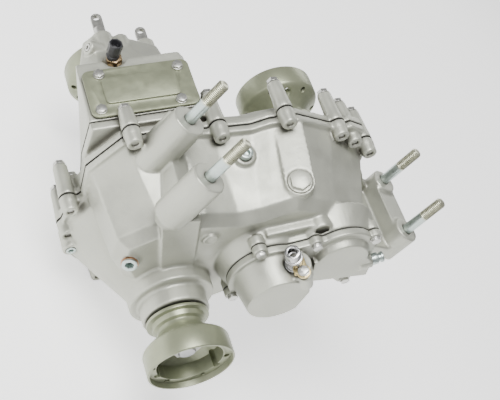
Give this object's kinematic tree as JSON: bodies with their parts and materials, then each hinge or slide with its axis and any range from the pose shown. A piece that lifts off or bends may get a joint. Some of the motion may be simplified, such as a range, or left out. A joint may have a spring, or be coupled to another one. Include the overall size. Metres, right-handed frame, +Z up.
{
  "type": "transfer gearbox",
  "caption": "Aluminium two-speed transfer gearbox with three cup-shaped drive flanges, a lockable centre differential, shift rods and mounting studs.",
  "frame": {"origin": "centre of the rear output flange's mouth, on the output axis", "axes": "+X along the output shafts, out of the rear flange; +Z up along the mounting studs; +Y towards the input shaft"},
  "size_m": [0.451, 0.401, 0.359],
  "materials": {
    "casting": "as-cast, satin",
    "khaki": "olive passivated steel, satin",
    "bolt": "zinc plated",
    "stud": "blue zinc plated",
    "steel": "ground",
    "gear_steel": "case-hardened, machined",
    "iron": "machined casting",
    "rod": "ground",
    "gasket": "matt sealing sheet",
    "rubber": "matt",
    "brass": "machined",
    "copper": "soft copper washer",
    "black": "moulded",
    "nylon": "moulded",
    "yellow_zinc": "yellow zinc plated"
  },
  "bodies": {
    "housing": {"rear_case": "casting", "front_case": "casting", "front_drive_housing": "casting", "rear_cover": "casting", "shift_cover": "khaki", "gaskets": "gasket", "case_bolts": "bolt", "front_housing_bolts": "bolt", "rear_cover_bolts": "bolt", "shift_cover_bolts": "bolt", "mounting_studs": "stud", "filler_plug": "casting", "breather": "stud", "pressure_valve": "stud", "level_plug": "stud", "level_plug_washer": "copper", "drain_plug": "stud", "detent_plugs": "bolt", "detent_springs": "steel", "detent_balls": "steel", "lock_switch": "brass", "lock_switch_connector": "black", "speedo_adaptor": "khaki", "speedo_clamp_plate": "yellow_zinc", "speedo_clamp_bolt": "bolt", "dowels": "steel", "rod_seals": "rubber", "oil_seals": "rubber", "output_bearings": "steel", "differential_bearings": "steel", "intermediate_bearings": "steel", "input_bearings": "steel"},
    "differential": {"differential_case": "iron", "ring_gear": "gear_steel", "ring_gear_bolts": "gear_steel", "planet_pin": "gear_steel"},
    "rear_output": {"rear_side_gear": "gear_steel", "rear_output_shaft": "gear_steel", "rear_output_flange": "khaki", "rear_flange_nut": "bolt"},
    "front_output": {"front_side_gear": "gear_steel", "front_output_shaft": "gear_steel", "front_output_flange": "khaki", "front_flange_nut": "bolt"},
    "upper_planet": {"upper_planet_gear": "gear_steel"},
    "lower_planet": {"lower_planet_gear": "gear_steel"},
    "lock_collar": {"lock_sleeve": "gear_steel"},
    "lock_shift": {"lock_rod": "rod", "lock_fork": "steel"},
    "intermediate": {"intermediate_shaft": "gear_steel", "speedo_worm": "gear_steel"},
    "input": {"input_shaft": "gear_steel", "input_flange": "khaki", "input_flange_nut": "bolt"},
    "high_range_gear": {"high_gear": "gear_steel"},
    "low_range_gear": {"low_gear": "gear_steel"},
    "range_collar": {"range_sleeve": "gear_steel"},
    "range_shift": {"range_rod": "rod", "range_fork": "steel"},
    "speedo_drive": {"speedo_pinion": "nylon"}
  },
  "joints": [
    {"name": "differential_spin", "type": "hinge", "parent": "housing", "child": "differential", "pos_m": [-0.174, 0, 0], "axis": [1, 0, 0], "continuous": true},
    {"name": "differential_action", "type": "hinge", "parent": "differential", "child": "rear_output", "pos_m": [-0.1, 0, 0], "axis": [1, 0, 0], "continuous": true},
    {"name": "front_output_turn", "type": "hinge", "parent": "differential", "child": "front_output", "pos_m": [-0.3, 0, 0], "axis": [1, 0, 0], "continuous": true},
    {"name": "upper_planet_turn", "type": "hinge", "parent": "differential", "child": "upper_planet", "pos_m": [-0.174, 0, 0.03], "axis": [0, 0, 1], "continuous": true},
    {"name": "lower_planet_turn", "type": "hinge", "parent": "differential", "child": "lower_planet", "pos_m": [-0.174, 0, -0.03], "axis": [0, 0, 1], "continuous": true},
    {"name": "lock_collar_slide", "type": "slide", "parent": "front_output", "child": "lock_collar", "axis": [1, 0, 0], "range_m": [0, 0.012]},
    {"name": "lock_rod_slide", "type": "slide", "parent": "housing", "child": "lock_shift", "axis": [1, 0, 0], "range_m": [0, 0.012]},
    {"name": "intermediate_spin", "type": "hinge", "parent": "housing", "child": "intermediate", "pos_m": [-0.15, 0.07315, 0.08874], "axis": [1, 0, 0], "continuous": true},
    {"name": "input_spin", "type": "hinge", "parent": "housing", "child": "input", "pos_m": [-0.2, 0.13592, 0.14605], "axis": [1, 0, 0], "continuous": true},
    {"name": "high_gear_spin", "type": "hinge", "parent": "housing", "child": "high_range_gear", "pos_m": [-0.18, 0.13592, 0.14605], "axis": [1, 0, 0], "continuous": true},
    {"name": "low_gear_spin", "type": "hinge", "parent": "housing", "child": "low_range_gear", "pos_m": [-0.13, 0.13592, 0.14605], "axis": [1, 0, 0], "continuous": true},
    {"name": "range_collar_slide", "type": "slide", "parent": "input", "child": "range_collar", "axis": [1, 0, 0], "range_m": [0, 0.012]},
    {"name": "range_rod_slide", "type": "slide", "parent": "housing", "child": "range_shift", "axis": [1, 0, 0], "range_m": [0, 0.012]},
    {"name": "speedo_spin", "type": "hinge", "parent": "housing", "child": "speedo_drive", "pos_m": [-0.062, 0.09223, 0.11188], "axis": [0, -0.7716, 0.6361], "continuous": true}
  ],
  "couplings": [
    {"joint": "front_output_turn", "follows": "differential_action", "ratio": -1},
    {"joint": "upper_planet_turn", "follows": "differential_action", "ratio": -1.6},
    {"joint": "lower_planet_turn", "follows": "differential_action", "ratio": 1.6},
    {"joint": "lock_collar_slide", "follows": "lock_rod_slide", "ratio": 1},
    {"joint": "intermediate_spin", "follows": "differential_spin", "ratio": -1.3},
    {"joint": "input_spin", "follows": "differential_spin", "ratio": 1.3},
    {"joint": "high_gear_spin", "follows": "differential_spin", "ratio": 1.3},
    {"joint": "low_gear_spin", "follows": "differential_spin", "ratio": 2.1},
    {"joint": "range_collar_slide", "follows": "range_rod_slide", "ratio": 1},
    {"joint": "speedo_spin", "follows": "differential_spin", "ratio": 0.46429}
  ]
}
